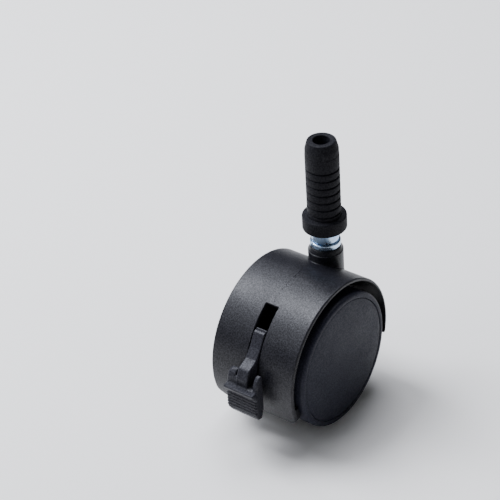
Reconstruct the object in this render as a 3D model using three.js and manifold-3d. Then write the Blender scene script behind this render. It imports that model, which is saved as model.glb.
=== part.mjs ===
// A twin-wheel chair caster with a grip-neck stem, a push-in leg sleeve and a foot brake.
// Millimetres, +Z up along the swivel axis, +X towards the brake pedal, the axle along Y.
// The parts are laid out around the axle's centre, then moved so that the origin is on the floor,
// in the middle of the footprint.

import * as THREE from 'three';
import { mergeVertices } from 'three/addons/utils/BufferGeometryUtils.js';
import Module from 'manifold-3d';

const wasm = await Module();
wasm.setup();

// ---- driving dimensions ----------------------------------------------------------------------

const GAP = 0.3;                  // left between pieces that touch or run in each other
const WHEEL_R = 25;               // a 2 inch wheel
const STEM_X = -18;               // swivel axis behind the axle
const STEM_R = 3.15;              // 1/4 inch stem
const AXLE_R = 2;

const HOOD_HALF = 17.4;           // half the width of the hood's barrel
const HOOD_OUTER = { x: -0.6, z: 0, r: 29.3 };
const HOOD_INNER = { x: -1.6, z: -0.3, r: 27.4 };
const HOOD_FRONT_DEG = -26;       // where the barrel ends below the pedal
const HOOD_REAR_DEG = 195;        // and behind the stem
const RIM_ROUND = 0.7;            // rounding of the barrel's rims
const FRONT_CORNER_R = 5;         // rounding of the barrel's lower corners, seen from the front
const REAR_CORNER_R = 1.5;        // and from behind
const LIP_Z = -5;                 // the front wall is thicker below this height
const LIP_R = 25.6;               // and comes this close to the wheels, from the axle
const BARREL_SIDES = 68;

const NECK_R = 6.3;
const NECK_TOP = 32.1;
const NECK_EDGE_Z = 30.2;         // where the neck's straight side meets its domed top

const WEB_HALF = 4.3;             // the web between the wheels, which holds axle, stem and brake
const SLOT_HALF = 2.6;            // the brake lever's slot and pocket
const SLOT_LOW_DEG = -3;
const SLOT_HIGH_DEG = 59.6;

const WHEEL_IN = 4.8;             // inner end of each wheel
const HUB_R = 5.2;
const HUB_OUT = 15.2;
const RIM_IN_R = 22.2;
const FACE_Y = 19.2;              // outer face of each wheel
const SHOULDER = 1.6;             // rounding from tread to face
const COVER_R = 22.7;
const WHEEL_SIDES = 56;

const AXLE_HALF = 16.8;
const CLIP_Y = 15.5;              // inner face of an axle clip
const CLIP_T = 0.6;

const PIVOT = { x: 9, z: -1, r: 1.25 };   // brake lever's pivot
const BAR = { x: 9.6, z: 18, r: 1.4, half: 13 };
const LEVER_HALF = 2.3;
const PEDAL_HALF = 6.5;
const PEDAL_RIBS = 5;

const FLANGE_R = 5.5;             // steel neck bush
const FLANGE_Z = 32.4;
const FLANGE_TOP = 34.4;
const COLLAR_R = 4.9;             // the stem's collar, on which the sleeve rests
const STEM_RING_Z = 25.9;
const STEM_RING_T = 1;
const STEM_BOTTOM = 8;
const HEAD_Z = 69;
const HEAD_TOP = 70.5;

const SLEEVE_LOW = 39.4;
const COLLAR_TOP = SLEEVE_LOW - GAP;
const SEAT_Z = 44.7;              // top of the sleeve's flange, where the chair leg rests
const NOSE_Z = 69.4;              // foot of the sleeve's nose
const SLEEVE_TOP = 74.7;
const SLEEVE_R = 6;
const SLEEVE_FLANGE_R = 7.9;
const GROOVES = 7;
const GROOVE_PITCH = 2.95;
const GROOVE_FIRST = 46.4;
const GROOVE_DEPTH = 0.45;

// ---- materials -------------------------------------------------------------------------------

const material = (color, roughness, metalness) =>
  new THREE.MeshStandardMaterial({ color, roughness, metalness });
const blackNylon = material('#2b2b2f', 0.6, 0);
const wheelNylon = material('#26272d', 0.5, 0);
const sleevePlastic = material('#1d1d1f', 0.55, 0);
const zincSteel = material('#c3c8cf', 0.25, 1);
const springSteel = material('#8d9094', 0.35, 1);

// ---- helpers ---------------------------------------------------------------------------------

const rad = THREE.MathUtils.degToRad;

// One closed shell with merged corners and its faces pointing out.
function closed(geometry) {
  geometry.deleteAttribute('normal');
  geometry.deleteAttribute('uv');
  const merged = mergeVertices(geometry, 1e-5);
  const at = merged.attributes.position;
  const index = merged.index.array;
  const kept = [];
  const [a, b, c] = [new THREE.Vector3(), new THREE.Vector3(), new THREE.Vector3()];
  let volume = 0;
  for (let i = 0; i < index.length; i += 3) {
    const [p, q, r] = [index[i], index[i + 1], index[i + 2]];
    if (p === q || q === r || r === p) continue;
    kept.push(p, q, r);
    a.fromBufferAttribute(at, p);
    b.fromBufferAttribute(at, q);
    c.fromBufferAttribute(at, r);
    volume += a.dot(b.cross(c));
  }
  if (volume < 0) kept.reverse();
  merged.setIndex(kept);
  return merged;
}

function solid(geometry) {
  const shell = closed(geometry);
  return new wasm.Manifold(new wasm.Mesh({
    numProp: 3,
    vertProperties: new Float32Array(shell.attributes.position.array),
    triVerts: new Uint32Array(shell.index.array),
  }));
}

function geometryOf(manifold) {
  const mesh = manifold.getMesh();
  const geometry = new THREE.BufferGeometry();
  geometry.setAttribute('position', new THREE.BufferAttribute(mesh.vertProperties, 3));
  geometry.setIndex(new THREE.BufferAttribute(mesh.triVerts, 1));
  return geometry;
}

// A body of revolution about Y. The profile is a list of [radius, y].
function turnedY(profile, segments) {
  const points = profile.map(([r, y]) => new THREE.Vector2(r, y));
  return new THREE.LatheGeometry(points, segments);
}

// A body of revolution about a vertical axis at x. The profile is a list of [radius, z].
function turnedZ(profile, segments, x = STEM_X) {
  return turnedY(profile, segments).rotateX(Math.PI / 2).translate(x, 0, 0);
}

// A shape drawn in x and z, extruded along Y from one y to another.
function alongY(shape, from, to, curveSegments = 12) {
  return new THREE.ExtrudeGeometry(shape, { depth: to - from, curveSegments, bevelEnabled: false })
    .rotateX(Math.PI / 2)
    .translate(0, to, 0);
}

// A shape drawn in y and z, extruded along X from one x to another.
function alongX(shape, from, to, curveSegments = 12) {
  const turn = new THREE.Matrix4().makeBasis(
    new THREE.Vector3(0, 1, 0),
    new THREE.Vector3(0, 0, 1),
    new THREE.Vector3(1, 0, 0),
  );
  return new THREE.ExtrudeGeometry(shape, { depth: to - from, curveSegments, bevelEnabled: false })
    .applyMatrix4(turn)
    .translate(from, 0, 0);
}

function rodY(x, z, r, half, segments = 24) {
  return new THREE.CylinderGeometry(r, r, 2 * half, segments).translate(x, 0, z);
}

function rodZ(x, r, from, to, segments = 32) {
  return turnedZ([[0, from], [r, from], [r, to], [0, to]], segments, x);
}

function box(x0, x1, y0, y1, z0, z1) {
  return new THREE.BoxGeometry(x1 - x0, y1 - y0, z1 - z0)
    .translate((x0 + x1) / 2, (y0 + y1) / 2, (z0 + z1) / 2);
}

function polygon(points) {
  return new THREE.Shape(points.map(([x, z]) => new THREE.Vector2(x, z)));
}

function mirroredY(geometry) {
  return closed(geometry.clone().scale(1, -1, 1));
}

// A band of metal bent round an axis, open over the given angle: a snap ring or an axle clip.
function openRing(inner, outer, openDeg) {
  const start = rad(openDeg / 2);
  const shape = new THREE.Shape();
  shape.absarc(0, 0, outer, start, 2 * Math.PI - start, false);
  shape.absarc(0, 0, inner, 2 * Math.PI - start, start, true);
  return shape;
}

// ---- hood ------------------------------------------------------------------------------------

// The barrel's outside, as a drum with rounded rims.
function drum() {
  const { x, z, r } = HOOD_OUTER;
  const rim = [];
  for (const deg of [0, 30, 60, 90]) {
    const across = r - RIM_ROUND + RIM_ROUND * Math.cos(rad(deg));
    rim.push([across, HOOD_HALF - RIM_ROUND + RIM_ROUND * Math.sin(rad(deg))]);
  }
  const profile = [...rim, [0, HOOD_HALF]];
  const mirrored = profile.map(([across, y]) => [across, -y]).reverse();
  return turnedY([...mirrored, ...profile], BARREL_SIDES).translate(x, 0, z);
}

// The space in which the wheels turn. It is set back from the drum, so the wall is thicker in front.
function wheelSpace(growth = 0) {
  return rodY(HOOD_INNER.x, HOOD_INNER.z, HOOD_INNER.r + growth, HOOD_HALF + 2, BARREL_SIDES);
}

// The open sector of the barrel, from behind the stem round below to the pedal.
function openSector() {
  const at = (deg) => [HOOD_OUTER.x + 60 * Math.cos(rad(deg)), HOOD_OUTER.z + 60 * Math.sin(rad(deg))];
  const rear = HOOD_REAR_DEG - 360;
  return polygon([[HOOD_OUTER.x, HOOD_OUTER.z], at(rear), at(-130), at(-80), at(HOOD_FRONT_DEG)]);
}

// What is cut off a lower corner of the barrel, seen along X, for y > 0.
function cornerWaste(edgeZ, r) {
  const shape = new THREE.Shape();
  shape.moveTo(HOOD_HALF + 1, edgeZ - 3);
  shape.lineTo(HOOD_HALF + 1, edgeZ + r);
  shape.lineTo(HOOD_HALF, edgeZ + r);
  shape.absarc(HOOD_HALF - r, edgeZ + r, r, 0, -Math.PI / 2, true);
  shape.lineTo(HOOD_HALF - r, edgeZ - 3);
  return shape;
}

// The lower front of the wall, which nearly closes the gap in front of the wheels.
function frontLip() {
  return solid(drum())
    .intersect(solid(box(10, 40, -HOOD_HALF - 1, HOOD_HALF + 1, -20, LIP_Z)))
    .subtract(solid(rodY(0, 0, LIP_R, HOOD_HALF + 2, BARREL_SIDES)));
}

function barrel() {
  let body = solid(drum())
    .subtract(solid(wheelSpace()))
    .add(frontLip())
    .subtract(solid(alongY(openSector(), -HOOD_HALF - 1, HOOD_HALF + 1)));
  const ends = [
    { deg: HOOD_FRONT_DEG, r: FRONT_CORNER_R, from: 10, to: 40 },
    { deg: HOOD_REAR_DEG, r: REAR_CORNER_R, from: -40, to: -10 },
  ];
  for (const end of ends) {
    const edgeZ = HOOD_OUTER.z + HOOD_OUTER.r * Math.sin(rad(end.deg));
    const waste = alongX(cornerWaste(edgeZ, end.r), end.from, end.to, 6);
    body = body.subtract(solid(waste.clone())).subtract(solid(mirroredY(waste)));
  }
  return body;
}

// The neck stands on the sloping barrel, so its foot is cut off at the barrel's inner wall.
function neck() {
  const profile = [
    [0, 12], [NECK_R, 12], [NECK_R, NECK_EDGE_Z], [NECK_R - 0.3, NECK_EDGE_Z + 0.9],
    [NECK_R - 0.65, NECK_TOP - 0.25], [NECK_R - 0.9, NECK_TOP], [0, NECK_TOP],
  ];
  return solid(turnedZ(profile, 36)).subtract(solid(wheelSpace(0.3)));
}

// The web fills the back of the gap between the wheels and reaches forward to the brake's pivot.
function web() {
  const rear = HOOD_INNER.x - HOOD_INNER.r;
  const outline = polygon([
    [rear + 2, -4], [-8, -6], [-4, -8.6], [14.4, -8.6], [15, -4], [13.4, 3], [13, 10], [14, 23.6],
    [8, 26.4], [0, 28], [-9, 26.6], [-17, 23], [-23, 16.4], [-27, 8],
  ]);
  const plate = solid(alongY(outline, -WEB_HALF, WEB_HALF));
  const boss = solid(rodY(0, 0, HUB_R, WEB_HALF + 0.2, 32));
  return plate.add(boss);
}

// The hollow in the web in which the lever swings, with a window each side for the brake bar.
function leverPocket() {
  const outline = polygon([
    [3.8, -5.6], [14.2, -5.6], [20, -12], [34, -12], [34, 24], [-2, 24], [-2, 13.5], [3.8, 4.5],
  ]);
  const underSpring = box(5.9, 12.6, -SLOT_HALF, SLOT_HALF, -12, -5);
  const window = box(1.5, 40, -WEB_HALF - 1, WEB_HALF + 1, BAR.z - 3, BAR.z + 2);
  return solid(alongY(outline, -SLOT_HALF, SLOT_HALF))
    .add(solid(underSpring))
    .add(solid(window))
    .intersect(solid(wheelSpace(-0.2)));
}

// The slot through the barrel, in front of the pocket.
function leverSlot() {
  const [low, high] = [rad(SLOT_LOW_DEG), rad(SLOT_HIGH_DEG)];
  const shape = new THREE.Shape();
  shape.absarc(HOOD_OUTER.x, HOOD_OUTER.z, HOOD_OUTER.r + 4, low, high, false);
  shape.absarc(HOOD_OUTER.x, HOOD_OUTER.z, HOOD_OUTER.r - 6, high, low, true);
  return solid(alongY(shape, -SLOT_HALF, SLOT_HALF));
}

function hoodHousing() {
  const bores = [
    rodY(0, 0, AXLE_R + GAP, 20),
    rodY(PIVOT.x, PIVOT.z, PIVOT.r + GAP, 20),
    rodZ(STEM_X, STEM_R + GAP, STEM_BOTTOM - 0.6, NECK_TOP + 1),
    rodZ(STEM_X, 4.6, STEM_RING_Z - GAP, STEM_RING_Z + STEM_RING_T + GAP),
    rodZ(STEM_X, 4.5 + GAP, STEM_RING_Z + STEM_RING_T + GAP, NECK_TOP + 1),
  ];
  let body = barrel().add(neck()).add(web()).subtract(leverPocket()).subtract(leverSlot());
  for (const bore of bores) body = body.subtract(solid(bore));
  return geometryOf(body);
}

// ---- swivel stem and what it turns in --------------------------------------------------------

function swivelStem() {
  const ringLow = STEM_RING_Z - GAP;
  const ringHigh = STEM_RING_Z + STEM_RING_T + GAP;
  const profile = [
    [0, STEM_BOTTOM], [STEM_R - 0.6, STEM_BOTTOM], [STEM_R, STEM_BOTTOM + 0.6],
    [STEM_R, ringLow], [2.4, ringLow], [2.4, ringHigh], [STEM_R, ringHigh],
    [STEM_R, FLANGE_TOP + GAP], [COLLAR_R - 0.2, FLANGE_TOP + GAP], [COLLAR_R, FLANGE_TOP + GAP + 0.2],
    [COLLAR_R, COLLAR_TOP - 0.6], [COLLAR_R - 0.5, COLLAR_TOP], [STEM_R, COLLAR_TOP],
    [STEM_R, HEAD_Z - 8.7], [2.25, HEAD_Z - 2.7], [2.35, HEAD_Z - 2.1], [2.35, HEAD_Z - 0.7],
    [2.9, HEAD_Z], [3.05, HEAD_Z + 0.3],
    [3.05, HEAD_TOP - 0.35], [2.7, HEAD_TOP - 0.05], [0, HEAD_TOP],
  ];
  return closed(turnedZ(profile, 24));
}

function neckBush() {
  const inner = STEM_R + GAP;
  const low = STEM_RING_Z + STEM_RING_T + 2 * GAP;
  const profile = [
    [inner, low], [4.5, low], [4.5, FLANGE_Z], [FLANGE_R, FLANGE_Z], [FLANGE_R, FLANGE_TOP - 0.3],
    [FLANGE_R - 0.3, FLANGE_TOP], [inner, FLANGE_TOP], [inner, low],
  ];
  return closed(turnedZ(profile, 28));
}

function stemRing() {
  const settings = { depth: STEM_RING_T, curveSegments: 10, bevelEnabled: false };
  const ring = new THREE.ExtrudeGeometry(openRing(2.4 + GAP, 4.3, 70), settings);
  return closed(ring.translate(STEM_X, 0, STEM_RING_Z));
}

// ---- leg sleeve ------------------------------------------------------------------------------

function sleeveGroove(z) {
  const [deep, half] = [SLEEVE_R - GROOVE_DEPTH, 0.35];
  return [[SLEEVE_R, z - half], [deep, z - half * 0.6], [deep, z + half * 0.6], [SLEEVE_R, z + half]];
}

function socketSleeve() {
  const bore = STEM_R + GAP;
  const bead = 2.35 + GAP;
  const mouth = 2.95;
  const profile = [[bore, SLEEVE_LOW], [SLEEVE_FLANGE_R - 0.5, SLEEVE_LOW]];
  profile.push([SLEEVE_FLANGE_R, SLEEVE_LOW + 0.6], [SLEEVE_FLANGE_R, SEAT_Z], [SLEEVE_R, SEAT_Z]);
  for (let i = 0; i < GROOVES; i += 1) profile.push(...sleeveGroove(GROOVE_FIRST + i * GROOVE_PITCH));
  profile.push([SLEEVE_R, NOSE_Z], [SLEEVE_R - 0.15, NOSE_Z + 0.15], [SLEEVE_R - 0.15, 71.7], [5.4, 72.6]);
  profile.push([5.2, 74], [4.8, SLEEVE_TOP - 0.15], [4.3, SLEEVE_TOP]);
  profile.push([mouth + 0.3, SLEEVE_TOP], [mouth, SLEEVE_TOP - 0.3]);
  profile.push([mouth, HEAD_TOP + 0.4], [bore, HEAD_TOP + 0.4], [bore, HEAD_Z - 0.3]);
  profile.push([bead + 0.2, HEAD_Z - 0.9], [bead, HEAD_Z - 1.3], [bore, HEAD_Z - 2.3], [bore, SLEEVE_LOW]);
  return closed(turnedZ(profile, 26));
}

// ---- axle and wheels -------------------------------------------------------------------------

function axlePin() {
  const end = [
    [AXLE_R, CLIP_Y - 0.2], [1.5, CLIP_Y - 0.2], [1.5, CLIP_Y + CLIP_T + 0.2],
    [AXLE_R, CLIP_Y + CLIP_T + 0.2], [AXLE_R, AXLE_HALF - 0.3], [AXLE_R - 0.3, AXLE_HALF], [0, AXLE_HALF],
  ];
  const mirrored = end.map(([r, y]) => [r, -y]).reverse();
  return closed(turnedY([...mirrored, ...end], 18));
}

function axleClip() {
  return closed(alongY(openRing(1.8, 4.4, 80), CLIP_Y, CLIP_Y + CLIP_T, 10));
}

// A wheel is a cup that is open towards the web: hub, disc, and a rim with a rounded shoulder.
function wheel() {
  const bore = AXLE_R + GAP;
  const discIn = 13.8;
  const profile = [
    [bore, WHEEL_IN], [HUB_R, WHEEL_IN], [HUB_R, discIn], [RIM_IN_R, discIn], [RIM_IN_R, WHEEL_IN],
    [WHEEL_R - 0.5, WHEEL_IN], [WHEEL_R, WHEEL_IN + 0.5],
  ];
  for (const deg of [0, 30, 60, 90]) {
    const across = WHEEL_R - SHOULDER + SHOULDER * Math.cos(rad(deg));
    profile.push([across, FACE_Y - SHOULDER + SHOULDER * Math.sin(rad(deg))]);
  }
  profile.push([COVER_R + GAP - 0.05, FACE_Y], [COVER_R + GAP - 0.05, 17], [RIM_IN_R - 0.6, 17]);
  profile.push([RIM_IN_R - 0.6, HUB_OUT], [bore, HUB_OUT], [bore, WHEEL_IN]);
  return closed(turnedY(profile, WHEEL_SIDES));
}

// The slightly domed disc that closes the wheel's outer face and hides the axle's end.
function wheelCover() {
  const profile = [
    [0, 17.9], [20.4, 17.9], [20.9, 17.3], [COVER_R, 17.3], [COVER_R, FACE_Y - 0.4],
    [COVER_R - 0.5, FACE_Y], [16, FACE_Y + 0.15], [0, FACE_Y + 0.25],
  ];
  return closed(turnedY(profile, WHEEL_SIDES));
}

// ---- brake -----------------------------------------------------------------------------------

// The lever's plate: hub on the pivot, a spur up to the brake bar, and the arm out to the pedal.
// Two flats under the hub face the detent spring, one for each position of the lever.
function leverPlate() {
  const outline = new THREE.Shape();
  const flat = 3.5;
  const at = (deg, r) => [PIVOT.x + r * Math.cos(rad(deg)), PIVOT.z + r * Math.sin(rad(deg))];
  outline.moveTo(...at(-80, flat / Math.cos(rad(10))));
  outline.lineTo(14, -3.4);
  outline.lineTo(24, 1.2);
  outline.lineTo(31, 1.2);
  outline.lineTo(33.6, 2.6);
  outline.lineTo(33.8, 5.6);
  outline.quadraticCurveTo(33.4, 9.3, 30.6, 9.8);
  outline.lineTo(28.7, 10.2);
  outline.lineTo(22.6, 18.4);
  outline.quadraticCurveTo(22.2, 19, 21.6, 18.6);
  outline.lineTo(21.4, 18.4);
  outline.quadraticCurveTo(20.8, 20.4, 20.2, 18.5);
  outline.lineTo(17.4, 15.6);
  outline.lineTo(13.6, 14.2);
  outline.lineTo(BAR.x + 2.6, BAR.z);
  outline.absarc(BAR.x, BAR.z, 2.6, 0, Math.PI, false);
  outline.lineTo(7.4, 9);
  outline.lineTo(...at(178, 3.8));
  outline.absarc(PIVOT.x, PIVOT.z, 3.8, rad(180), rad(225), false);
  outline.lineTo(...at(-118, flat / Math.cos(rad(10))));
  outline.lineTo(...at(-99, flat / Math.cos(rad(9))));
  return alongY(outline, -LEVER_HALF, LEVER_HALF, 6);
}

// The pedal seen along Y: sloping ears on top, a toe ledge, a ribbed face and a raked underside.
function pedalSection() {
  const points = [[30.4, -6.4], [31.9, -10.2], [33.7, -9.5], [34.5, -8]];
  for (let i = 0; i < PEDAL_RIBS; i += 1) {
    const z = -7.2 + 1.25 * i;
    points.push([34.5, z], [34.85, z + 0.3], [34.85, z + 0.65], [34.5, z + 0.95]);
  }
  points.push([34.7, -0.2], [35.9, 0.9], [36.4, 1.9], [36.1, 2.6], [34, 2.6], [33.9, 3.4]);
  points.push([33.5, 5], [32.8, 6.5], [31.8, 7.5], [30.9, 7.8], [30.2, 7.2]);
  return polygon(points);
}

// The pedal seen along X: two ears beside the arm, the left one wider, and rounded lower corners.
function pedalFront() {
  const shape = new THREE.Shape();
  const [low, floor, top] = [-10.3, 3, 8];
  const [leftEar, rightEar] = [-3, 4.4];
  const [leftCorner, rightCorner] = [2.6, 1.2];
  shape.moveTo(-PEDAL_HALF + leftCorner, low);
  shape.lineTo(PEDAL_HALF - rightCorner, low);
  shape.absarc(PEDAL_HALF - rightCorner, low + rightCorner, rightCorner, -Math.PI / 2, 0, false);
  shape.lineTo(PEDAL_HALF, top - 0.8);
  shape.lineTo(PEDAL_HALF - 0.6, top);
  shape.lineTo(rightEar, top);
  shape.lineTo(rightEar, floor);
  shape.lineTo(leftEar, floor);
  shape.lineTo(leftEar, top);
  shape.lineTo(-PEDAL_HALF + 0.6, top);
  shape.lineTo(-PEDAL_HALF, top - 0.8);
  shape.absarc(-PEDAL_HALF + leftCorner, low + leftCorner, leftCorner, Math.PI, 1.5 * Math.PI, false);
  return shape;
}

function brakeLever() {
  const pedal = solid(alongY(pedalSection(), -PEDAL_HALF, PEDAL_HALF))
    .intersect(solid(alongX(pedalFront(), 20, 45, 5)));
  const body = solid(leverPlate())
    .add(pedal)
    .subtract(solid(rodY(PIVOT.x, PIVOT.z, PIVOT.r + GAP, 8)))
    .subtract(solid(rodY(BAR.x, BAR.z, BAR.r + GAP, 8)));
  return geometryOf(body);
}

// A flat leaf with its ends turned down over two ribs of the web.
function detentSpring() {
  const [top, t] = [-4.85, 0.45];
  const outline = polygon([
    [4.1, top - 0.6], [4.4, top], [13.9, top], [14.1, top - 0.5],
    [13.6, top - t - 0.1], [13.3, top - t], [4.9, top - t], [4.6, top - 0.7],
  ]);
  return closed(alongY(outline, -SLOT_HALF + GAP, SLOT_HALF - GAP));
}

// ---- assembly --------------------------------------------------------------------------------

const group = new THREE.Group();
const pieces = [
  ['swivel_stem', swivelStem(), zincSteel],
  ['socket_sleeve', socketSleeve(), sleevePlastic],
  ['hood_housing', hoodHousing(), blackNylon],
  ['neck_bush', neckBush(), zincSteel],
  ['stem_snap_ring', stemRing(), springSteel],
  ['axle_pin', axlePin(), zincSteel],
  ['brake_pivot_pin', closed(rodY(PIVOT.x, PIVOT.z, PIVOT.r, WEB_HALF - 0.2, 20)), zincSteel],
  ['detent_spring', detentSpring(), springSteel],
  ['brake_lever', brakeLever(), wheelNylon],
  ['brake_bar', closed(rodY(BAR.x, BAR.z, BAR.r, BAR.half, 20)), zincSteel],
];
const sided = [
  ['axle_clip', axleClip(), springSteel],
  ['wheel', wheel(), wheelNylon],
  ['wheel_cover', wheelCover(), wheelNylon],
];
for (const [name, geometry, look] of sided) {
  pieces.push([`${name}_left`, mirroredY(geometry), look]);
  pieces.push([`${name}_right`, geometry, look]);
}
for (const [name, geometry, look] of pieces) {
  const mesh = new THREE.Mesh(geometry, look.clone());
  mesh.name = name;
  group.add(mesh);
}

// Everything moves so that the wheels stand on z = 0 and the origin is in the middle below.
const bounds = new THREE.Box3().setFromObject(group);
const middle = bounds.getCenter(new THREE.Vector3());
for (const mesh of group.children) mesh.position.set(-middle.x, 0, -bounds.min.z);

export default group;
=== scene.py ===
"""Looks for the twin-wheel chair caster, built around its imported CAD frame.

Metres in Blender, +Z up along the swivel axis, +X towards the brake pedal. Shapes are worked out in
millimetres from the axle's centre, and to_frame() moves them into place.
"""
import math

import bmesh
import bpy
import numpy as np
from mathutils import Matrix, Vector


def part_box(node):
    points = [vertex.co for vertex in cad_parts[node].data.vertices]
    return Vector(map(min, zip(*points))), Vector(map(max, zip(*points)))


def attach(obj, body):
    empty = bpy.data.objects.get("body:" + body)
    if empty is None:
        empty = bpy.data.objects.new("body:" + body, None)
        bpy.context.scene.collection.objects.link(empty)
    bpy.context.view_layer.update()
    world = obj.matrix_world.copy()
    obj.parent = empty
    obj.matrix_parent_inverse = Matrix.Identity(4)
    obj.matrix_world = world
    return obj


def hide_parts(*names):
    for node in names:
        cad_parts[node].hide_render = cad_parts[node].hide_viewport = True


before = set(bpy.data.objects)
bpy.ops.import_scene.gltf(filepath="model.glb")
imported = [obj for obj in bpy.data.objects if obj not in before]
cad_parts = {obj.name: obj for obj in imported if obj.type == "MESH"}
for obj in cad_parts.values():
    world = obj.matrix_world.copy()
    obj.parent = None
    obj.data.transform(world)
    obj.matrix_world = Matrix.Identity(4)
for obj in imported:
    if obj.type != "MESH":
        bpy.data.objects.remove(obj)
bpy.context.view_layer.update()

MM = 0.001


def middle(node):
    low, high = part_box(node)
    return (low + high) / 2 / MM


AXLE = middle("axle_pin")
STEM_X = middle("swivel_stem").x - AXLE.x
PIVOT = middle("brake_pivot_pin") - AXLE
BAR = middle("brake_bar") - AXLE

# Driving sizes in millimetres, the same as the CAD model's but for MOUTH, COVER_R and the wheel's edge.
GAP = 0.3
HOOD_HALF = 17.4
DRUM = (-0.6, 0.0, 29.3)            # x, z and radius of the hood's outside
WHEEL_SPACE = (-1.6, -0.3, 27.4)
MOUTH = (-0.9, -0.15, 28.1)         # the space widens to this near each rim
MOUTH_DEPTH = 2.0
HOOD_FRONT = math.radians(-26)
HOOD_REAR = math.radians(195)
FRONT_CORNER = 5.0
REAR_CORNER = 1.5
LIP_Z = -5.0                        # the front wall is thicker below this height
LIP_X = 10.0
LIP_R = 25.6
WEB_HALF = 4.3
BOSS_R = 5.2
SLOT_HALF = 2.6
SLOT_TOP = math.radians(59.6)
SLOT_LOW = math.radians(-3)
NECK_R = 6.3
NECK_FOOT = 12.0
NECK_TOP = 32.1
NECK_EDGE = 30.2                    # where the neck's straight side meets its domed top
STEM_R = 3.15
STEM_BOTTOM = 8.0
RING_Z = 25.9
BUSH_R = 5.5
BUSH_BODY_R = 4.5
BUSH_BORE = 3.45
BUSH_LOW = 32.4                     # underside of the bush's flange
BUSH_TOP = 34.4
COLLAR_R = 4.9
COLLAR_LOW = 34.7
COLLAR_TOP = 39.1
HEAD_Z = 69.0                       # where the stem's head starts
HEAD_R = 3.05
SLEEVE_R = 6.0
SLEEVE_BORE = 3.45
SLEEVE_LOW = 39.4
FLANGE_R = 7.9
SEAT_Z = 44.7
NOSE_Z = 69.4
SLEEVE_TOP = 74.7
FIRST_GROOVE_Z = 46.4
GROOVE_PITCH = 2.95
GROOVE_DEPTH = 0.45
FACE_Y = 19.2
INNER_Y = 4.8                       # the wheel's inner side
WEB_Y = (13.8, 15.2)                # the wheel's web, from its inner to its outer side
WHEEL_R = 25.0
RIM_R = 22.2
WHEEL_HUB_R = 5.2
WHEEL_BORE = 2.3
COVER_R = 22.8
RECESS_Y = 17.0                     # floor of the step that the cover sits on
LEVER_HALF = 2.3
PEDAL_HALF = 6.5
PEDAL_LOW = -10.3
PEDAL_X = 34.5                      # face of the pedal between its ribs
RIB_DEPTH = 0.35
RIB_PITCH = 1.25


# ---- distance functions ------------------------------------------------------------------------
# Each gives the distance from its surface, negative inside. A point p is (x, y, z), as arrays.

def drum(p, circle, grow=0.0):
    x, z, r = circle
    return np.hypot(p[0] - x, p[2] - z) - (r + grow)


def post(p, r):
    return np.hypot(p[0] - STEM_X, p[1]) - r


def rod(p, centre, r):
    return np.hypot(p[0] - centre[0], p[2] - centre[2]) - r


def between(v, low, high):
    return np.maximum(low - v, v - high)


def both(a, b, r=0.0):
    """What is in a and in b, with its edges rounded to r."""
    if r == 0:
        return np.maximum(a, b)
    corner = np.hypot(np.maximum(a + r, 0), np.maximum(b + r, 0)) - r
    return np.where((a > -r) & (b > -r), corner, np.maximum(a, b))


def either(a, b, r=0.0):
    """What is in a or in b, with a fillet of radius r where they meet."""
    return -both(-a, -b, r)


def without(a, b, r=0.0):
    return both(a, -b, r)


def outline(u, v, points):
    """Distance from a closed polygon in the plane."""
    corners = np.array(points, float)
    squared = np.full(np.broadcast(u, v).shape, 1e9)
    sign = np.ones_like(squared)
    for a, b in zip(corners, np.roll(corners, 1, axis=0)):
        e = b - a
        wu, wv = u - a[0], v - a[1]
        t = np.clip((wu * e[0] + wv * e[1]) / (e @ e), 0, 1)
        squared = np.minimum(squared, (wu - e[0] * t) ** 2 + (wv - e[1] * t) ** 2)
        above, below, left = v >= a[1], v < b[1], e[0] * wv > e[1] * wu
        flip = (above & below & left) | (~above & ~below & ~left)
        sign = np.where(flip, -sign, sign)
    return sign * np.sqrt(squared)


# ---- meshes ------------------------------------------------------------------------------------

def to_frame(points):
    return (np.asarray(points, float) + np.array(AXLE)) * MM


def slope(shape, p, step=0.02):
    """The unit normal of a distance function at points p (3, n)."""
    g = np.empty_like(p)
    for i in range(3):
        d = np.zeros((3, 1))
        d[i] = step
        g[i] = shape(p + d) - shape(p - d)
    return g / np.maximum(np.linalg.norm(g, axis=0), 1e-9)


def net(shape, axes):
    """Surface nets: a vertex in each crossed cell and a quad round each crossed edge."""
    grid = np.meshgrid(*axes, indexing="ij", sparse=True)
    value = shape(grid)
    inside = value < 0
    size = np.array(value.shape)
    cells = np.zeros(size - 1, int)
    offsets = [np.array(o) for o in np.ndindex(2, 2, 2)]
    for o in offsets:
        cells += inside[tuple(slice(o[i], size[i] - 1 + o[i]) for i in range(3))]
    crossed = np.argwhere((cells > 0) & (cells < 8))
    index = np.full(size - 1, -1)
    index[tuple(crossed.T)] = np.arange(len(crossed))
    total = np.zeros((3, len(crossed)))
    count = np.zeros(len(crossed))
    quads = []
    for k in range(3):
        unit = np.eye(3, dtype=int)
        one, u, v = unit[k], unit[(k + 1) % 3], unit[(k + 2) % 3]
        low = tuple(slice(0, size[i] - one[i]) for i in range(3))
        high = tuple(slice(one[i], size[i]) for i in range(3))
        edges = np.argwhere(inside[low] != inside[high])
        a = value[tuple(edges.T)]
        b = value[tuple((edges + one).T)]
        t = a / (a - b)
        at = np.stack([axes[i][edges[:, i]] for i in range(3)]).astype(float)
        at[k] += t * (axes[k][edges[:, k] + 1] - axes[k][edges[:, k]])
        around = [index[tuple((edges - m).T)] for m in (0 * u, u, u + v, v)]
        for ring in around:
            np.add.at(total, (slice(None), ring), at)
            np.add.at(count, ring, 1)
        faces = np.stack(around, axis=1)
        faces[a > 0] = faces[a > 0][:, ::-1]
        quads.append(faces)
    return total / count, np.concatenate(quads)


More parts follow.
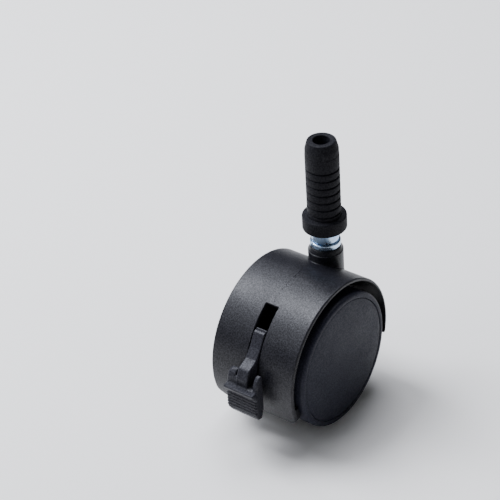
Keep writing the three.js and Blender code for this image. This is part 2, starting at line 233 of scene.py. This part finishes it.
def settle(shape, p, faces, passes=3):
    """Evens the quads out and moves their corners onto the surface."""
    pairs = np.concatenate([faces[:, [0, 1]], faces[:, [1, 2]], faces[:, [2, 3]], faces[:, [3, 0]]])
    for _ in range(passes):
        total = np.zeros_like(p)
        count = np.zeros(p.shape[1])
        np.add.at(total, (slice(None), pairs[:, 0]), p[:, pairs[:, 1]])
        np.add.at(count, pairs[:, 0], 1)
        p = p + 0.5 * (total / count - p)
        for _ in range(3):
            p = p - shape(p) * slope(shape, p)
    return p


def finished(name, points, faces, material, body, nodes, normals=None):
    """A Blender piece that rides on its body and stands in for the CAD nodes named."""
    mesh = bpy.data.meshes.new(name)
    mesh.from_pydata([tuple(v) for v in points], [], [tuple(int(i) for i in f) for f in faces])
    mesh.validate()
    for polygon in mesh.polygons:
        polygon.use_smooth = True
    if normals is not None:
        mesh.normals_split_custom_set_from_vertices([tuple(n) for n in normals])
    piece = bpy.data.objects.new(name, mesh)
    bpy.context.scene.collection.objects.link(piece)
    mesh.materials.append(material)
    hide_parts(*nodes)
    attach(piece, body)
    return piece


def moulded(name, shape, axes, material, body, nodes):
    """A piece whose surface is where shape is 0, with the shape's own normals."""
    p, faces = net(shape, axes)
    p = settle(shape, p, faces)
    return finished(name, to_frame(p.T), faces, material, body, nodes, slope(shape, p).T)


def spans(*stops):
    """Grid lines from stop to stop, each stop but the last a pair (start, spacing up to the next)."""
    lines = []
    for (start, step), end in zip(stops, [s[0] for s in stops[1:-1]] + [stops[-1]]):
        n = max(1, round((end - start) / step))
        lines += [start + (end - start) * i / n for i in range(n)]
    return np.array(lines + [stops[-1]])


def rounded(profile, ring=False, steps=6):
    """A profile of (radius, height) or (radius, height, fillet) points with its corners filleted."""
    path = []
    count = len(profile)
    for i, point in enumerate(profile):
        here = np.array(point[:2], float)
        fillet = point[2] if len(point) > 2 else 0
        if fillet == 0 or (not ring and i in (0, count - 1)):
            path.append(here)
            continue
        back = np.array(profile[i - 1][:2], float) - here
        on = np.array(profile[(i + 1) % count][:2], float) - here
        back /= np.linalg.norm(back)
        on /= np.linalg.norm(on)
        half = math.acos(max(-1.0, min(1.0, float(back @ on)))) / 2
        reach = fillet / math.tan(half)
        hub = here + (back + on) / np.linalg.norm(back + on) * fillet / math.sin(half)
        first, last = here + back * reach - hub, here + on * reach - hub
        turn = math.pi - 2 * half
        for k in range(steps + 1):
            t = k / steps
            mix = (math.sin((1 - t) * turn) * first + math.sin(t * turn) * last) / math.sin(turn)
            path.append(hub + mix)
    return path


def revolved(profile, sides, upright, centre, ring):
    """Points and faces of a profile turned about Y, or about a vertical axis if upright."""
    points, rows = [], []
    for r, h in rounded(profile, ring):
        start = len(points)
        turns = 1 if r < 1e-6 else sides
        for k in range(turns):
            a = 2 * math.pi * k / sides
            u, v = r * math.cos(a), r * math.sin(a)
            across, along = centre[0] + u, centre[1] + v
            points.append((across, along, h) if upright else (across, h, along))
        rows.append([start + k % turns for k in range(sides)])
    faces = []
    pairs = list(zip(rows, rows[1:] + rows[:1])) if ring else list(zip(rows, rows[1:]))
    for low, high in pairs:
        for k in range(sides):
            m = (k + 1) % sides
            face = list(dict.fromkeys([low[k], low[m], high[m], high[k]]))
            if len(face) > 2:
                faces.append(face)
    return points, faces


def face_outwards(piece, sharp_deg=32):
    """Points every face outwards and keeps the edges steeper than sharp_deg crisp."""
    shape = bmesh.new()
    shape.from_mesh(piece.data)
    bmesh.ops.recalc_face_normals(shape, faces=shape.faces)
    shape.to_mesh(piece.data)
    shape.free()
    piece.data.set_sharp_from_angle(angle=math.radians(sharp_deg))
    return piece


def turned(name, profile, material, body, nodes, sides, upright=False, ring=False, side=1):
    """A piece turned about the stem if upright and about the axle if not, mirrored if side is -1."""
    centre = (STEM_X, 0.0) if upright else (0.0, 0.0)
    points, faces = revolved(profile, sides, upright, centre, ring)
    points = [(x, side * y, z) for x, y, z in points]
    piece = finished(name, to_frame(points), faces, material, body, nodes)
    return face_outwards(piece)


# ---- materials ---------------------------------------------------------------------------------

def tree_of(name):
    material = bpy.data.materials.new(name)
    material.use_nodes = True
    tree = material.node_tree
    return material, tree, tree.nodes["Principled BSDF"]


def place(tree):
    return tree.nodes.new("ShaderNodeTexCoord").outputs["Object"]


def noise(tree, vector, size_mm, detail=2.0, roughness=0.5):
    node = tree.nodes.new("ShaderNodeTexNoise")
    node.inputs["Scale"].default_value = 1000.0 / size_mm
    node.inputs["Detail"].default_value = detail
    node.inputs["Roughness"].default_value = roughness
    tree.links.new(vector, node.inputs["Vector"])
    return node.outputs["Fac"]


def remap(tree, value, low, high, to_low, to_high):
    node = tree.nodes.new("ShaderNodeMapRange")
    for socket, number in zip(("From Min", "From Max", "To Min", "To Max"), (low, high, to_low, to_high)):
        node.inputs[socket].default_value = number
    tree.links.new(value, node.inputs["Value"])
    return node.outputs["Result"]


def blend_colour(tree, factor, first, second):
    node = tree.nodes.new("ShaderNodeMix")
    node.data_type = "RGBA"
    tree.links.new(factor, node.inputs["Factor"])
    for socket, colour in ((node.inputs[6], first), (node.inputs[7], second)):
        if isinstance(colour, tuple):
            socket.default_value = (*colour, 1.0)
        else:
            tree.links.new(colour, socket)
    return node.outputs[2]


def bump(tree, height, depth_mm):
    node = tree.nodes.new("ShaderNodeBump")
    node.inputs["Strength"].default_value = 1.0
    node.inputs["Distance"].default_value = depth_mm * MM
    tree.links.new(height, node.inputs["Height"])
    return node.outputs["Normal"]


def times(tree, first, second):
    node = tree.nodes.new("ShaderNodeMath")
    node.operation = "MULTIPLY"
    tree.links.new(first, node.inputs[0])
    tree.links.new(second, node.inputs[1])
    return node.outputs["Value"]


def vector_math(tree, operation, vector, other=(0.0, 0.0, 0.0)):
    node = tree.nodes.new("ShaderNodeVectorMath")
    node.operation = operation
    node.inputs[1].default_value = other
    tree.links.new(vector, node.inputs[0])
    return node.outputs["Value" if operation == "LENGTH" else "Vector"]


def painted_shade_fade(tree, at):
    """0 on the hood's inside surfaces and 1 on its outside: the fade for the shade painted onto the hood's
    inside.
    """
    x, z, r = MOUTH
    from_centre = vector_math(tree, "SUBTRACT", at, (Vector((x, 0, z)) + AXLE) * MM)
    radial = vector_math(tree, "MULTIPLY", from_centre, (1.0, 0.0, 1.0))
    return remap(tree, vector_math(tree, "LENGTH", radial), r * MM, (r + 0.3) * MM, 0.0, 1.0)


def moulded_plastic(name, dark, light, rough, grain_mm, grain_depth, specular, sparkle, painted_inside_shade=False):
    """Moulded plastic: a fine grain in its tone, gloss and height, and a cloudy roughness.

    When set, shade is painted onto the hood's inside surfaces: a darker colour and weaker specular than its
    outside, standing in for the shade that falls inside the hood.
    """
    material, tree, shader = tree_of(name)
    at = place(tree)
    grain = noise(tree, at, grain_mm, 2.0, 0.6)
    cloud = noise(tree, at, 9.0, 3.0)
    tone = remap(tree, grain, 0.4, 0.65, 0.0, 1.0)
    gloss = remap(tree, grain, 0.38, 0.62, specular * (1 - sparkle), specular * (1 + sparkle))
    colour = blend_colour(tree, tone, dark, light)
    # Painted shade: darker colour and weaker specular on the hood's inside surfaces, where its shade falls.
    if painted_inside_shade:
        outside = painted_shade_fade(tree, at)
        colour = blend_colour(tree, outside, tuple(0.7 * part for part in dark), colour)
        gloss = times(tree, gloss, remap(tree, outside, 0.0, 1.0, 0.25, 1.0))
    tree.links.new(colour, shader.inputs["Base Color"])
    tree.links.new(remap(tree, cloud, 0.3, 0.7, rough - 0.05, rough + 0.05), shader.inputs["Roughness"])
    tree.links.new(gloss, shader.inputs["Specular IOR Level"])
    tree.links.new(bump(tree, grain, grain_depth), shader.inputs["Normal"])
    return material


def zinc_plate(name, colour, rough):
    """Plated or bare steel: faint drawn-out lines, cloudy gloss and a patchy blue cast."""
    material, tree, shader = tree_of(name)
    at = place(tree)
    stretch = tree.nodes.new("ShaderNodeMapping")
    stretch.inputs["Scale"].default_value = (1.0, 1.0, 0.15)
    tree.links.new(at, stretch.inputs["Vector"])
    lines = noise(tree, stretch.outputs["Vector"], 0.25, 2.0)
    cloud = noise(tree, at, 3.0, 4.0)
    bluer = tuple(c * s for c, s in zip(colour, (0.78, 0.88, 1.0)))
    patches = remap(tree, cloud, 0.35, 0.65, 0.0, 1.0)
    tree.links.new(blend_colour(tree, patches, colour, bluer), shader.inputs["Base Color"])
    tree.links.new(remap(tree, cloud, 0.3, 0.7, rough - 0.06, rough + 0.08), shader.inputs["Roughness"])
    tree.links.new(bump(tree, lines, 0.006), shader.inputs["Normal"])
    shader.inputs["Metallic"].default_value = 1.0
    return material


# The hood's grain, with shade painted onto its inside surfaces.
HOOD = moulded_plastic(
    "hood_grain_and_inside_shade", dark=(0.005, 0.005, 0.007), light=(0.013, 0.013, 0.018), rough=0.4,
    grain_mm=0.45, grain_depth=0.06, specular=0.27, sparkle=0.3, painted_inside_shade=True,
)
WHEEL = moulded_plastic(
    "wheel_nylon", dark=(0.013, 0.014, 0.022), light=(0.022, 0.023, 0.036), rough=0.5,
    grain_mm=0.5, grain_depth=0.012, specular=0.12, sparkle=0.3,
)
LEVER = moulded_plastic(
    "lever_nylon", dark=(0.013, 0.013, 0.017), light=(0.027, 0.027, 0.035), rough=0.42,
    grain_mm=0.5, grain_depth=0.04, specular=0.17, sparkle=0.35,
)
SLEEVE = moulded_plastic(
    "sleeve_plastic", dark=(0.006, 0.006, 0.008), light=(0.013, 0.013, 0.016), rough=0.6,
    grain_mm=0.5, grain_depth=0.012, specular=0.09, sparkle=0.3,
)
ZINC = zinc_plate("zinc_plate", (0.62, 0.76, 0.92), 0.27)
SPRING = zinc_plate("spring_steel", (0.45, 0.46, 0.48), 0.32)


# ---- hood --------------------------------------------------------------------------------------

def web_outline():
    rear = WHEEL_SPACE[0] - WHEEL_SPACE[2]
    return [
        (rear + 2, -4), (-8, -6), (-4, -8.6), (14.4, -8.6), (15, -4), (13.4, 3), (13, 10), (14, 23.6),
        (8, 26.4), (0, 28), (-9, 26.6), (-17, 23), (-23, 16.4), (-27, 8),
    ]


def barrel(p):
    """The drum with rounded rims, the neck blended onto it, and a mould line along the top."""
    x, y, z = p
    across = np.abs(y)
    sides = both(drum(p, DRUM), across - HOOD_HALF, 0.7)
    dome = both(0.94 * post(p, NECK_R - 0.25) + 0.34 * (z - NECK_EDGE), z - NECK_TOP, 0.5)
    neck = both(post(p, NECK_R), either(z - NECK_EDGE, dome), 0.12)
    body = either(sides, both(neck, NECK_FOOT - z), 0.35)
    line = both(both(across - 0.14, -3 - x), np.abs(drum(p, DRUM)) - 0.1)
    return without(body, line)


def above_ray(x, z, angle):
    """Distance above a ray from the drum's centre at an angle from +X."""
    return math.cos(angle) * z - math.sin(angle) * (x - DRUM[0])


def open_below(body, p):
    """Cuts the wheels' space, its wider mouths and the open sector, and rounds the corners it leaves."""
    x, y, z = p
    across = np.abs(y)
    by_lip = both(z - LIP_Z, LIP_X - x)
    lip = both(by_lip, -rod(p, (0, 0, 0), LIP_R), 0.2)
    body = without(body, without(drum(p, WHEEL_SPACE), lip, 0.1), 0.35)
    mouth = both(drum(p, MOUTH), HOOD_HALF - MOUTH_DEPTH - across)
    body = without(body, without(mouth, by_lip), 0.2)
    sector = both(above_ray(x, z, HOOD_FRONT), -above_ray(x, z, HOOD_REAR))
    body = without(body, sector, 0.5)
    front = both(across - HOOD_HALF, DRUM[2] * math.sin(HOOD_FRONT) - z, FRONT_CORNER)
    rear = both(across - HOOD_HALF, DRUM[2] * math.sin(HOOD_REAR) - z, REAR_CORNER)
    return both(body, np.where(x > 0, front, rear), 0.4)


def web(p):
    """The plate between the wheels, with its boss round the axle."""
    x, y, z = p
    across = np.abs(y)
    plate = both(outline(x, z, web_outline()), across - WEB_HALF, 0.3)
    boss = both(rod(p, (0, 0, 0), BOSS_R), across - WEB_HALF - 0.2, 0.2)
    return either(plate, boss, 0.4)


def lever_room(p):
    """What the web leaves free for the lever, the leaf under it and the brake bar."""
    x, y, z = p
    across = np.abs(y)
    pocket = outline(x, z, [
        (3.8, -5.6), (14.2, -5.6), (20, -12), (34, -12), (34, 24), (-2, 24), (-2, 13.5), (3.8, 4.5),
    ])
    pocket = both(pocket, across - SLOT_HALF)
    under_spring = both(both(between(x, 5.9, 12.6), between(z, -12, -5)), across - SLOT_HALF)
    window = both(both(between(x, 1.5, 40), between(z, BAR.z - 3, BAR.z + 2)), across - WEB_HALF - 1)
    return both(either(either(pocket, under_spring), window), drum(p, WHEEL_SPACE, -0.2))


def lever_slot(p):
    """The slot in the hood's front that the lever's arm moves in."""
    x, y, z = p
    rays = both(-above_ray(x, z, SLOT_LOW), above_ray(x, z, SLOT_TOP))
    wall = (DRUM[2] - 6) - np.hypot(x - DRUM[0], z)
    return both(rays, both(np.abs(y) - SLOT_HALF, wall))


def bored(body, p):
    """Cuts the holes for the axle, the lever's pin, the stem, its snap ring and the bush."""
    across = np.abs(p[1])
    for centre, r in (((0, 0, 0), 2 + GAP), (PIVOT, 1.25 + GAP)):
        body = without(body, both(rod(p, centre, r), across - 8))
    for r, low, high in (
        (STEM_R + GAP, STEM_BOTTOM - 0.6, 40),
        (4.6, RING_Z - GAP, RING_Z + 1 + GAP),
        (BUSH_BODY_R + GAP, RING_Z + 1 + GAP, 40),
    ):
        body = without(body, both(post(p, r), between(p[2], low, high)), 0.1)
    return body


def hood_shape(p):
    body = open_below(barrel(p), p)
    body = either(body, web(p), 0.8)
    body = without(body, lever_room(p), 0.15)
    body = without(body, lever_slot(p), 0.25)
    return bored(body, p)


def hood():
    axes = [
        spans((-31, 0.5), (-25.5, 0.3), (-10.5, 0.6), (12, 0.45), 29.6),
        spans((-17.6, 0.25), (-16, 0.6), (-7.2, 0.3), (-0.6, 0.15), (0.6, 0.3), (7.2, 0.6), (16, 0.25),
              17.6),
        spans((-16.9, 0.5), (22, 0.3), (28.6, 0.2), 32.6),
    ]
    return moulded("hood", hood_shape, axes, HOOD, "housing", ["hood_housing"])


# ---- wheels ------------------------------------------------------------------------------------

def wheel_profile():
    inner, outer = WEB_Y
    recess = COVER_R + 0.15
    return [
        (WHEEL_BORE, INNER_Y, 0.2), (WHEEL_HUB_R, INNER_Y, 0.3), (WHEEL_HUB_R, inner, 0.8),
        (RIM_R, inner, 0.8), (RIM_R, INNER_Y, 0.3), (WHEEL_R, INNER_Y, 0.6), (WHEEL_R, FACE_Y, 1.2),
        (recess, FACE_Y, 0.15), (recess, RECESS_Y, 0.1), (21.6, RECESS_Y, 0.2), (21.6, outer, 0.3),
        (WHEEL_BORE, outer, 0.2),
    ]


def cover_profile():
    """A disc with a slightly crowned face."""
    low = RECESS_Y + GAP
    return [
        (0, 17.9), (20.4, 17.9), (20.9, low), (COVER_R, low, 0.1), (COVER_R, FACE_Y - 0.15, 0.25),
        (21.5, FACE_Y), (16, FACE_Y + 0.15), (8, FACE_Y + 0.23), (0, FACE_Y + 0.25),
    ]


def wheels():
    for side, sign in (("left", -1), ("right", 1)):
        body = side + "_wheel"
        turned("wheel_" + side + "_tyre", wheel_profile(), WHEEL, body, ["wheel_" + side],
               sides=128, ring=True, side=sign)
        turned("cover_" + side, cover_profile(), WHEEL, body, ["wheel_cover_" + side],
               sides=128, side=sign)


# ---- stem, bush and sleeve ---------------------------------------------------------------------

def stem():
    low, high = RING_Z - GAP, RING_Z + 1 + GAP
    profile = [
        (0, STEM_BOTTOM), (STEM_R, STEM_BOTTOM, 0.5), (STEM_R, low, 0.1), (2.4, low, 0.1), (2.4, high, 0.1),
        (STEM_R, high, 0.1), (STEM_R, COLLAR_LOW, 0.1), (COLLAR_R, COLLAR_LOW, 0.25),
        (COLLAR_R - 0.05, COLLAR_TOP, 0.6), (STEM_R, COLLAR_TOP, 0.3), (STEM_R, HEAD_Z - 8.7, 0.8),
        (2.25, HEAD_Z - 2.7, 0.4), (2.35, HEAD_Z - 0.7, 0.3), (HEAD_R, HEAD_Z, 0.2),
        (HEAD_R, HEAD_Z + 1.5, 0.5), (0, HEAD_Z + 1.5),
    ]
    turned("steel_stem", profile, ZINC, "stem", ["swivel_stem"], sides=64, upright=True)


def bush():
    low = RING_Z + 1 + 2 * GAP
    profile = [
        (BUSH_BORE, low, 0.1), (BUSH_BODY_R, low, 0.2), (BUSH_BODY_R, BUSH_LOW, 0.1), (BUSH_R, BUSH_LOW, 0.2),
        (BUSH_R, BUSH_TOP, 0.5), (BUSH_BORE, BUSH_TOP, 0.3),
    ]
    turned("steel_bush", profile, ZINC, "housing", ["neck_bush"], sides=72, upright=True,
           ring=True)


def sleeve():
    r, bore, grip = SLEEVE_R, SLEEVE_BORE, HEAD_Z + 1.9
    profile = [
        (bore, SLEEVE_LOW, 0.2), (FLANGE_R, SLEEVE_LOW, 0.5), (FLANGE_R, SEAT_Z, 0.45), (r, SEAT_Z, 0.25),
    ]
    for i in range(7):
        z = FIRST_GROOVE_Z + GROOVE_PITCH * i
        profile += [
            (r, z - 0.4, 0.3), (r - GROOVE_DEPTH, z - 0.15, 0.1), (r - GROOVE_DEPTH, z + 0.2, 0.1),
            (r, z + 0.35, 0.12),
        ]
    profile += [
        (r, NOSE_Z, 0.2), (r - 0.12, NOSE_Z + 0.1, 0.05), (r - 0.05, NOSE_Z + 0.3, 0.1),
        (r - 0.12, 71.6, 0.8), (5.35, 73.6, 0.6), (5.05, SLEEVE_TOP, 0.6), (2.95, SLEEVE_TOP, 0.35),
        (2.95, grip, 0.1), (bore, grip, 0.1), (bore, HEAD_Z - 0.3), (2.85, HEAD_Z - 0.9, 0.2),
        (2.65, HEAD_Z - 1.3, 0.2), (bore, HEAD_Z - 2.3, 0.3),
    ]
    turned("leg_sleeve", profile, SLEEVE, "stem", ["socket_sleeve"], sides=80,
           upright=True, ring=True)


# ---- brake -------------------------------------------------------------------------------------

def polar(centre, r, degrees):
    a = math.radians(degrees)
    return centre[0] + r * math.cos(a), centre[1] + r * math.sin(a)


def arc(centre, r, start, end, steps):
    return [polar(centre, r, start + (end - start) * i / steps) for i in range(steps + 1)]


def plate_outline():
    """The lever's plate in X and Z: arm, knee, the bar's eye, and the hub with its two flats below."""
    hub = (PIVOT.x, PIVOT.z)
    flat = 3.5
    corner = flat / math.cos(math.radians(10))
    points = [polar(hub, corner, -80), (14, -3.4), (24, 1.2), (31, 1.2)]
    points += rounded([
        (33.9, 2.6), (34, 5.4, 2), (32.3, 9, 1.7), (29.4, 10.1, 1.3), (27.9, 10.9, 1), (25.3, 13.9, 6),
        (22.6, 18.5, 0.5), (21.7, 18.9),
    ])
    points += rounded([(21.3, 18.6), (20.9, 19.7, 0.4), (20.2, 18.5), (17.4, 15.6, 1), (13.6, 14.2)])
    points += arc((BAR.x, BAR.z), 2.6, 0, 180, 10)
    points += [(7.4, 9)] + arc(hub, 3.8, 178, 225, 5)
    points += [polar(hub, corner, -118), polar(hub, flat / math.cos(math.radians(9)), -99)]
    return points


def pedal_outline():
    """The pedal in X and Z: its ribbed face, the ledge over it and the ears' rounded top."""
    points = [(30.4, -6.4), (31.9, -10.2), (33.7, -9.5), (PEDAL_X, -8)]
    rib_x = PEDAL_X + RIB_DEPTH
    for i in range(5):
        z = -7.2 + RIB_PITCH * i
        points += [(PEDAL_X, z), (rib_x, z + 0.3), (rib_x, z + 0.65), (PEDAL_X, z + 0.95)]
    points += [(34.7, -0.2), (35.9, 0.9), (36.4, 1.9), (36.4, 2.3), (36.1, 2.6), (34.3, 2.6), (33.9, 3)]
    points += [(33.5, 5), (32.8, 6.5), (31.8, 7.5), (30.9, 7.8), (30.2, 7.2)]
    return points


def pedal(p):
    """The pedal, with an ear on its right, a rounder one on its left and a notch for the arm between."""
    x, y, z = p
    sides = np.abs(y) - PEDAL_HALF
    right = both(sides, PEDAL_LOW - z, 1.2)
    left = both(both(sides, PEDAL_LOW - z, 2.6), both(sides, z - 7.8, 2))
    notch = both(between(y, -3, 4.4), np.where(y < -1.5, 5.8, 3) - z)
    front = without(np.where(y > 0, right, left), notch, 0.4)
    return both(outline(x, z, pedal_outline()), front, 0.7)


def lever_shape(p):
    x, y, z = p
    plate = both(outline(x, z, plate_outline()), np.abs(y) - LEVER_HALF, 0.4)
    body = either(plate, pedal(p), 0.5)
    body = without(body, rod(p, PIVOT, 1.55))
    return without(body, rod(p, BAR, 1.7))


def lever():
    axes = [
        spans((4.6, 0.35), (20, 0.3), (29.5, 0.18), 36.8),
        spans((-7, 0.2), 7),
        spans((-10.8, 0.16), (10.5, 0.3), 21),
    ]
    return moulded("lever", lever_shape, axes, LEVER, "brake", ["brake_lever"])


# ---- camera, light and floor -------------------------------------------------------------------

def direction(azimuth, elevation):
    a, e = math.radians(azimuth), math.radians(elevation)
    return Vector((math.cos(e) * math.cos(a), math.cos(e) * math.sin(a), math.sin(e)))


def camera():
    """Placed by azimuth from +X, elevation, roll and distance, with the axle's place in the picture."""
    azimuth, elevation, roll = 39.19, 34.77, math.radians(-4.06)
    distance, focal = 639.81, 3.6
    right_of_centre, below_centre = 0.02758, 0.05103
    back = direction(azimuth, elevation)
    level = Vector((0, 0, 1)).cross(back).normalized()
    upright = back.cross(level)
    across = math.cos(roll) * level + math.sin(roll) * upright
    up = -math.sin(roll) * level + math.cos(roll) * upright
    data = bpy.data.cameras.new("camera")
    data.sensor_width = 36
    data.lens = data.sensor_width * focal
    data.clip_start, data.clip_end = 0.01, 10
    shown = bpy.data.objects.new("camera", data)
    bpy.context.scene.collection.objects.link(shown)
    at = AXLE + distance * (back - right_of_centre * across + below_centre * up)
    turn = Matrix((across, up, back)).transposed().to_4x4()
    shown.matrix_world = Matrix.Translation(at * MM) @ turn
    bpy.context.scene.camera = shown


def lamp(name, azimuth, elevation, power):
    """A soft square lamp, a metre from the caster's middle."""
    data = bpy.data.lights.new(name, "AREA")
    data.size = 0.5
    data.energy = power
    data.color = (0.88, 0.91, 1.0)
    shown = bpy.data.objects.new(name, data)
    back = direction(azimuth, elevation)
    shown.location = Vector((0, 0, 0.04)) + back
    shown.rotation_mode = "QUATERNION"
    shown.rotation_quaternion = back.to_track_quat("Z", "Y")
    bpy.context.scene.collection.objects.link(shown)


def floor():
    half = 4.0
    corners = [(-half, -half, 0), (half, -half, 0), (half, half, 0), (-half, half, 0)]
    mesh = bpy.data.meshes.new("floor")
    mesh.from_pydata(corners, [], [(0, 1, 2, 3)])
    piece = bpy.data.objects.new("floor", mesh)
    bpy.context.scene.collection.objects.link(piece)
    material, _, shader = tree_of("pale_floor")
    shader.inputs["Base Color"].default_value = (0.9, 0.885, 0.85, 1)
    shader.inputs["Roughness"].default_value = 0.9
    shader.inputs["Specular IOR Level"].default_value = 0.1
    mesh.materials.append(material)


def studio():
    world = bpy.data.worlds.new("studio")
    world.use_nodes = True
    sky = world.node_tree.nodes["Background"]
    sky.inputs["Color"].default_value = (0.97, 0.985, 1.0, 1.0)
    sky.inputs["Strength"].default_value = 0.03
    bpy.context.scene.world = world
    for name, azimuth, elevation, power in (
        ("key", -83, 55, 19), ("back", -150, 62, 8), ("front", -35, 38, 2.8), ("side", 88, 28, 0.8),
    ):
        lamp(name, azimuth, elevation, power)


# ---- everything --------------------------------------------------------------------------------

def steel_inside():
    """The CAD solids that are shown as they are."""
    for node, material in (
        ("stem_snap_ring", SPRING), ("axle_pin", ZINC), ("axle_clip_left", SPRING),
        ("axle_clip_right", SPRING), ("brake_pivot_pin", ZINC), ("detent_spring", SPRING), ("brake_bar", ZINC),
    ):
        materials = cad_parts[node].data.materials
        materials.clear()
        materials.append(material)


camera()
studio()
floor()
hood()
wheels()
stem()
bush()
sleeve()
lever()
steel_inside()
